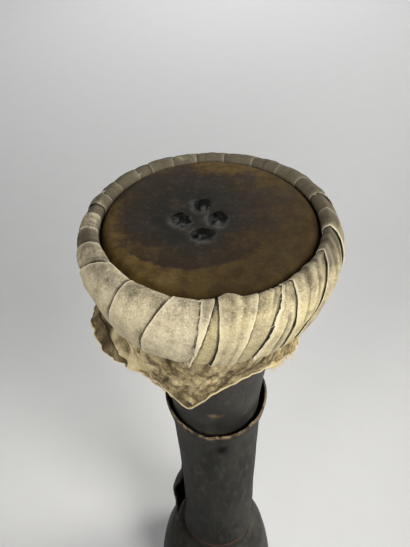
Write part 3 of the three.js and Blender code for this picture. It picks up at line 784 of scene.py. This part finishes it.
def makeWrap(number):
    # one wrap: a sheet between two edges; where it lies on top its edge stands up, elsewhere it runs on
    # under its neighbour
    left = ring["edges"][number]
    right = ring["edges"][(number + 1) % len(ring["edges"])]
    leftTurn = edgeTurn(left)
    width = wrapWidth(number)
    rightTurn = leftTurn + np.degrees(width[:, 0] / wrapRadius)
    leftTop, rightTop = left[3] > 0, right[3] < 0
    start = -(not leftTop) * np.minimum(ring["tuck"], 0.7 * wrapWidth(number - 1)) / width
    end = 1 + (not rightTop) * np.minimum(ring["tuck"], 0.7 * wrapWidth(number + 1)) / width
    columns = max(9, int((width * (end - start)).mean() / ring["columnStep"]))
    share = start + (end - start) * np.linspace(0, 1, columns)[None, :]
    line = np.stack([0 * ringLength, ringLength, 0 * ringLength + 37 * number], -1)
    frayLeft = left[4] * (noise(line, 2.2, 61) + 0.6 * noise(line, 7, 62)) * leftTop
    frayRight = right[4] * (noise(line, 2.2, 63) + 0.6 * noise(line, 7, 64)) * rightTop
    leftEnd = leftTurn + np.degrees(frayLeft / wrapRadius)
    rightEnd = rightTurn + np.degrees(frayRight / wrapRadius)
    turn = leftEnd[:, None] * (1 - share) + rightEnd[:, None] * share
    fromLeft, fromRight = np.maximum(share, 0) * width, np.maximum(1 - share, 0) * width
    fromFront = np.abs(turnFrom(turn, 0))
    soft = 1 - 0.55 * smoothStep(fromFront, 95, 125)
    down = ringLength[:, None]
    soft = soft * (0.45 + 0.55 * smoothStep(down - ringLength[crest], -4, 10))
    lift, crease, pale = 0, 0, 0
    for onTop, away, edge in ((leftTop, fromLeft, left), (rightTop, fromRight, right)):
        # an edge on top has a pale hem, partly a painted highlight, and one that is covered lies in a painted
        # shadow line
        lift = lift + (1 if onTop else -1) * ring["lift"] * soft * np.exp(-away / 9)
        crease = crease + (0 if onTop else lineAt(away, edge[1]))
        pale = pale + (0.75 * np.exp(-away / 1.3) * (0.5 + 0.5 * min(1, edge[4])) if onTop else 0)
    cloth = np.stack(np.broadcast_arrays(share * width, down * 0.16, 0 * share + 53 * number), -1)
    inner = np.clip(share, 0, 1)
    wrinkle = 0.45 * noise(cloth, 6, 65) + 0.22 * noise(cloth, 2.6, 66)
    small = np.stack(np.broadcast_arrays(share * width, down, 0 * share + 29 * number), -1)
    wrinkle = wrinkle + 0.3 * crumple(small, 15, 67) + 0.1 * noise(small, 3, 68)
    amid = (1 - np.exp(-fromLeft / 4)) * (1 - np.exp(-fromRight / 4))
    # painted shade along fine wrinkle lines
    cracks = smoothStep(np.abs(noise(cloth, 5, 74)), 0.11, 0.01) * amid
    crease = crease + 0.3 * cracks * smoothStep(noise(small, 19, 75), -0.1, 0.3)
    pleats, height = ring["pleats"].get(number, (0, 0))
    if pleats:
        # pleats: ridges with a sharp crease between them, with painted shade in the crease and a painted
        # highlight on the ridge
        wave = np.abs(np.sin(math.pi * pleats * inner + 1.1 * noise(cloth, 14, 69))) ** 0.6
        wrinkle = wrinkle + height * (wave - 0.6)
        broken = 0.5 + 0.5 * smoothStep(noise(small, 13, 73), -0.3, 0.25)
        crease = crease + 0.85 * min(1, height + 0.05) * smoothStep(wave, 0.62, 0.24) * amid * broken
        pale = pale + 0.2 * height * smoothStep(wave, 0.86, 0.98) * amid * smoothStep(fromFront, 85, 55)
    rim = 1 - 0.6 * hump(ringLength, ringLength[crest] - 4, 12)[:, None]
    wrinkle = wrinkle * (1 + hump(turn, 36, 28)) * rim * np.sin(math.pi * inner) ** 0.4
    offset = lift + 0.5 * np.sin(math.pi * inner) + wrinkle
    # the strips are drawn together in a knot at the front rim
    knot = 3.36 * hump(turn, 6.5, 5) * smoothStep(ringShare[:, None], 0.16, 0)
    points = ringPlace(turn, offset + knot)
    depth = faceHeight - points[..., 2]
    side = smoothStep(fromFront, 48, 112)
    patches = noise(points, 17, 70) * 0.5 + 0.5
    top = smoothStep(ringShare[:, None], 0.3, 0.02)
    # darker towards the sides and back, more so higher up, and towards the top by the hide, in patches
    soil = 0.1 + 0.62 * side * (0.55 + 0.45 * smoothStep(depth, 34, 6))
    soil = soil + 0.09 * smoothStep(fromFront, 105, 145)
    soil = soil + 0.66 * top * (0.3 + 0.7 * patches) * (1 - 0.3 * side)
    soil = soil + 0.08 * noise(points, 8, 71) + ring["darkenings"][number] * (0.4 + 0.6 * np.maximum(top, side))
    # pale hems and painted highlights fade towards the sides and back
    pale = pale * (1 - 0.75 * smoothStep(fromFront, 75, 110))
    return shell(points, ring["cloth"], soil=np.clip(soil, 0, 1), tone=ring["tones"][number],
                 pale=np.clip(pale, 0, 1), crease=np.clip(crease, 0, 1),
                 across=share * width * mm, along=down * mm)


def makePadding(material):
    # the padded hoop under the strips: the same section drawn in, closed along the hide's side
    turn = np.linspace(0, 360, ring["paddingSides"], endpoint=False)[None, :]
    points = ringPlace(turn, 0 * turn - ring["paddingInset"])
    return makePiece("ringPadding", [closedGrid(points, soil=0.75)], material)


# Wax lumps

def makeLump(place, seed, material):
    # a low cone with a crumpled skin, closed by a flat underside
    turn = np.linspace(0, 360, lumps["columns"], endpoint=False)[None, :]
    share = np.linspace(0.02, 1, lumps["rows"])[:, None]
    angle = np.radians(turn)
    outline = 1 + 0.1 * np.sin(2 * angle + seed) + 0.04 * np.sin(3 * angle + 2 * seed)
    around = np.stack([8 * np.cos(angle), 8 * np.sin(angle), 0 * angle + 10 * seed], -1)
    outline = outline + 0.2 * noise(around, 4.4, 84) + 0.12 * noise(around, 1.9, 85)
    radius = lumps["radius"] * share * outline
    height = lumps["height"] * (1 - smoothStep(share, 0.12, 1.02)) + 0 * turn
    x, y = radius * np.cos(angle), radius * np.sin(angle)
    points = np.stack([x, y, height + 10 * seed], -1)
    rough = smoothStep(share, 1, 0.8)
    swell = 1 + 0.1 * noise(points, 3.4, 81) * rough
    hollow = 1.3 * hump(turn, 300, 70) * smoothStep(share, 0.1, 0.35) * smoothStep(share, 0.75, 0.5)
    height = height + rough * (0.8 * crumple(points, 4.2, 82) + 0.4 * noise(points, 1.7, 86) - hollow)
    top = np.stack([x * swell, y * swell, np.maximum(height, 0.05)], -1)
    centre = np.array([*lumpCentre(place), faceHeight])
    # pale on the front-left side, towards the front lamp, as a painted highlight, and grey dust all round the
    # foot
    dust = smoothStep(np.cos(np.radians(turnFrom(turn, 225))), 0.1, 0.75) * smoothStep(share, 0.3, 0.75)
    dust = dust * smoothStep(noise(points, 2.6, 83), -0.4, 0.3)
    dust = np.maximum(dust, 0.6 * smoothStep(share, 0.72, 0.96))
    part = shell(top + centre + [0, 0, 0.1], lumps["skin"], True, True, dust=dust)
    underside = part["points"][len(part["points"]) // 2 - 1:-2]
    underside[:, 2] = faceHeight - lumps["sunk"]
    part["points"][-1, 2] = faceHeight - lumps["sunk"]
    return makePiece("waxLump" + place.title(), [part], material, ["wax_lump_" + place])


# Sleeve: a hide wound once round the neck, torn along its flared rim, its free edge peeled away

sleeve = {
    "top": 223, "bottom": 526, "thickness": 1.9, "gap": 0.5, "lip": 4.4, "lipHeight": 48,
    "overlap": 25, "freeEdge": -85, "tucked": 32, "peel": 11.5, "peelTop": 404,
    "peelRamp": 34, "peelTurn": 52,
    "columns": 310, "rows": 160, "tear": 1.7, "stainTurn": 5, "stainDepth": 256,
}


def makeSleeve(material):
    # rows run down the neck and columns round it, from under the free edge to the free edge itself
    fromFree = np.linspace(360 + sleeve["overlap"], 0, sleeve["columns"])[None, :]
    share = np.linspace(0, 1, sleeve["rows"])[:, None]
    plain = sleeve["freeEdge"] - fromFree
    around = roundAxis(plain, body["neck"], 0.0) + np.stack([0 * plain, 0 * plain, fromFree], -1)
    torn = sleeve["tear"] * (noise(around, 11, 91) + 0.7 * noise(around, 4, 92)) + 3.0 * hump(plain, 12, 12)
    top = sleeve["top"] + torn
    bottom = sleeve["bottom"] + 1.2 * noise(around, 22, 93) + 10 * hump(plain, 90, 45)
    depth = top + (bottom - top) * share
    peeled = smoothStep(depth, sleeve["peelTop"], sleeve["peelTop"] + sleeve["peelRamp"])
    # above the peeled part the free edge lies further back
    turn = plain - sleeve["tucked"] * smoothStep(depth, sleeve["peelTop"] + 14, sleeve["peelTop"] - 30)
    fromTop = depth - sleeve["top"]
    lip = sleeve["lip"] * (1 - smoothStep(fromTop, 0, sleeve["lipHeight"])) ** 1.6
    waves = 0.2 * np.sin(np.radians(3 * turn) + 1.0) + 0.35 * hump(turn, 80, 40) - 0.2 * hump(turn, -85, 45)
    lip = lip * (1 + waves)
    over = (sleeve["thickness"] + 0.7) * smoothStep(fromFree, sleeve["overlap"] + 16, sleeve["overlap"])
    closing = 1 - 0.25 * smoothStep(depth, sleeve["peelTop"] + sleeve["peelRamp"], sleeve["bottom"])
    peel = sleeve["peel"] * peeled * closing * smoothStep(fromFree, sleeve["peelTurn"], 0)
    aside = np.stack([0 * depth + 0.3 * fromFree, 0 * depth, 0 * depth], -1)
    place = roundAxis(turn, body["neck"], depth) + aside
    skin = 0.35 * noise(place, 30, 94) + 0.15 * noise(place * [1, 1, 0.4], 8, 95)
    ragged = noise(np.stack([depth, 0 * depth, 0 * depth], -1), 9, 96) * peeled * smoothStep(fromFree, 16, 0)
    peel = peel + 1.5 * noise(place, 12, 98) * peeled * smoothStep(fromFree, 30, 0)
    stainDown = (depth - sleeve["stainDepth"]) / 8
    pit = np.exp(-((turnFrom(turn, sleeve["stainTurn"]) * 0.8 / 4.2) ** 2 + stainDown**2))
    radius = bodyRadius(depth) + sleeve["gap"] + sleeve["thickness"] + lip + over + peel
    radius = radius + np.clip(skin, -0.3, 0.6) * smoothStep(fromTop, 2, 14) - 0.7 * pit
    turn = turn + 3.0 * ragged
    facing = 0.15 + 0.85 * smoothStep(np.cos(np.radians(turn - 12)), -0.1, 0.6)
    raw = smoothStep(depth - top, 3.8 + 2.2 * noise(around, 7, 97), 0.6) * facing
    raw = np.maximum(raw, 0.3 * smoothStep(fromFree, 2.2, 0.6))
    rust = 0.95 * smoothStep(bottom - depth, 3.6, 1.0)
    stain = np.clip(pit * 1.8, 0, 0.97)
    part = shell(roundAxis(turn, radius, depth), sleeve["thickness"], raw=raw, rust=rust, stain=stain)
    return makePiece("neckSleeve", [part], material, ["neck_sleeve"])


# Loose threads on the ring and hair under the right flap

def makeThreads(material):
    # frayed threads: each starts on a wrap's edge and curls away over a few millimetres
    random = np.random.default_rng(11)
    # number of the edge, how many threads, how far they reach
    frays = [(13, 46, 5.0), (17, 34, 5.0), (5, 16, 4.0), (8, 14, 5.0), (22, 12, 4.0),
             (3, 10, 4.0), (10, 10, 4.0)]
    lines = []
    steps = np.linspace(0, 1, 7)[None, :, None]
    for number, amount, reach in frays:
        row = random.uniform(crest - 3, ring["rows"] - 6, amount).astype(int)
        turn = edgeTurn(ring["edges"][number])[row]
        start = ringPlace(turn[None, :] + 0 * ringShare[:, None], ring["lift"])[row, np.arange(amount)]
        out = outward(turn)
        aside = np.cross(out, [0, 0, 1.0])
        way = aside * random.uniform(-0.2, 1.1, (amount, 1)) + out * random.uniform(0.05, 0.5, (amount, 1))
        way = way + [0, 0, 1] * random.uniform(-0.9, 0.5, (amount, 1))
        bend = random.normal(0, 0.5, (amount, 3)) - [0, 0, 0.3]
        length = random.uniform(0.35, 1, (amount, 1)) * reach
        lines.append(start[:, None] + (way * length)[:, None] * steps + (bend * length)[:, None] * steps**2)
    threads = strands(np.vstack(lines), 0.16)
    return makePiece("ringThreads", [threads], material)


def makeHair(material):
    # short hairs left on the hide: from the right flap's edge down and out
    random = np.random.default_rng(5)
    amount = 240
    turn = np.r_[random.normal(40, 6, 190), random.uniform(-64, -50, 50)]
    depth = skirtEdge(turn) - random.uniform(0, 3, amount)
    start = roundAxis(turn, skirtRadius(turn, depth) - 0.8, depth)
    out = outward(turn)
    way = out * random.uniform(-0.1, 0.6, (amount, 1)) - [0, 0, 1] * random.uniform(0.5, 1.0, (amount, 1))
    way = way + np.cross(out, [0, 0, 1.0]) * random.normal(-0.3, 0.35, (amount, 1))
    length = random.uniform(2.5, 8, (amount, 1)) * np.r_[np.ones(190), np.full(50, 0.5)][:, None]
    steps = np.linspace(0, 1, 5)[None, :, None]
    bend = random.normal(0, 0.25, (amount, 3))
    lines = start[:, None] + (way * length)[:, None] * steps + (bend * length)[:, None] * steps**2
    return makePiece("skirtHair", [strands(lines, 0.2)], material)


# Floor, light and camera

studio = {
    "floorSize": 14.0, "floorColour": (0.50, 0.50, 0.498),
    # place and aim in metres, size in metres, power in watts, spread in degrees, colour
    "lights": {
        "frontLight": ((-0.7, -0.95, 1.15), (-0.02, -0.02, 0.68), 0.6, 1.0, 28, (1.0, 0.985, 0.955)),
        "keyLight": ((0.85, -1.0, 1.7), (0.0, 0.1, 0.4), 0.7, 20.5, 140, (1.0, 0.985, 0.95)),
        "rightLight": ((1.3, 0.2, 0.9), (0.0, 0.0, 0.38), 0.7, 3.7, 50, (1.0, 0.985, 0.92)),
        "backLight": ((0.3, 3.0, 2.4), (0.1, 2.0, 0), 2.0, 100, 180, (1.0, 1.0, 1.0)),
    },
    "world": (0.90, 0.94, 1.0), "worldStrength": 0.075,
}
camera = {"eye": (-0.0046, -0.3026, 0.9626), "pitch": 45, "roll": -1.9,
          "focalPixels": 545, "imageHeight": 547}


def makeFloor(material):
    half = studio["floorSize"] / 2
    mesh = bpy.data.meshes.new("floor")
    corners = [(-half, -half, 0), (half, -half, 0), (half, half, 0), (-half, half, 0)]
    mesh.from_pydata(corners, [], [(0, 1, 2, 3)])
    mesh.materials.append(material)
    floor = bpy.data.objects.new("floor", mesh)
    bpy.context.scene.collection.objects.link(floor)


def makeLights():
    for name, (place, aim, size, power, spread, colour) in studio["lights"].items():
        light = bpy.data.lights.new(name, "AREA")
        light.size, light.energy, light.color = size, power, colour
        light.spread = math.radians(spread)
        lamp = bpy.data.objects.new(name, light)
        lamp.location = place
        lamp.rotation_mode = "QUATERNION"
        lamp.rotation_quaternion = (Vector(aim) - Vector(place)).to_track_quat("-Z", "Y")
        bpy.context.scene.collection.objects.link(lamp)
    world = bpy.data.worlds.new("studio")
    world.use_nodes = True
    world.node_tree.nodes["Background"].inputs["Color"].default_value = (*studio["world"], 1)
    world.node_tree.nodes["Background"].inputs["Strength"].default_value = studio["worldStrength"]
    bpy.context.scene.world = world


def makeCamera():
    data = bpy.data.cameras.new("camera")
    data.sensor_width = 36.0
    data.lens = camera["focalPixels"] / camera["imageHeight"] * data.sensor_width
    data.clip_start = 0.01
    eye = bpy.data.objects.new("camera", data)
    turned = Matrix.Rotation(math.radians(camera["pitch"]), 4, "X")
    turned = turned @ Matrix.Rotation(math.radians(camera["roll"]), 4, "Z")
    eye.matrix_world = Matrix.Translation(camera["eye"]) @ turned
    bpy.context.scene.collection.objects.link(eye)
    bpy.context.scene.camera = eye


makeCamera()
makeLights()
floorColours = studio["floorColour"], [part * 0.985 for part in studio["floorColour"]]
makeFloor(plainFinish("paleFloor", *floorColours, 60, 0.9))
bpy.context.scene.view_settings.view_transform = "Standard"
print("camera, lights and floor made")

makeBody(woodFinish())
rawhide = hideFinish()
makePiece("drumHide", [makeHide(), makeCorner(), makeFlapEdge()], rawhide, ["drum_hide"])
cotton = clothFinish()
ringPadding = makePadding(cotton)
wraps = [makeWrap(number) for number in range(len(ring["edges"]))]
ringCloth = makePiece("ringCloth", wraps, cotton, ["head_ring"])
makeThreads(plainFinish("cottonThread", (0.66, 0.60, 0.46), (0.52, 0.45, 0.31), 3, 0.9))
darkWax = waxFinish()
for number, place in enumerate(lumps["spots"]):
    makeLump(place, 1.7 * number, darkWax)
makeSleeve(sleeveFinish())
makeHair(plainFinish("hideHair", (0.52, 0.40, 0.20), (0.34, 0.24, 0.11), 4, 0.7))
print("pieces made")
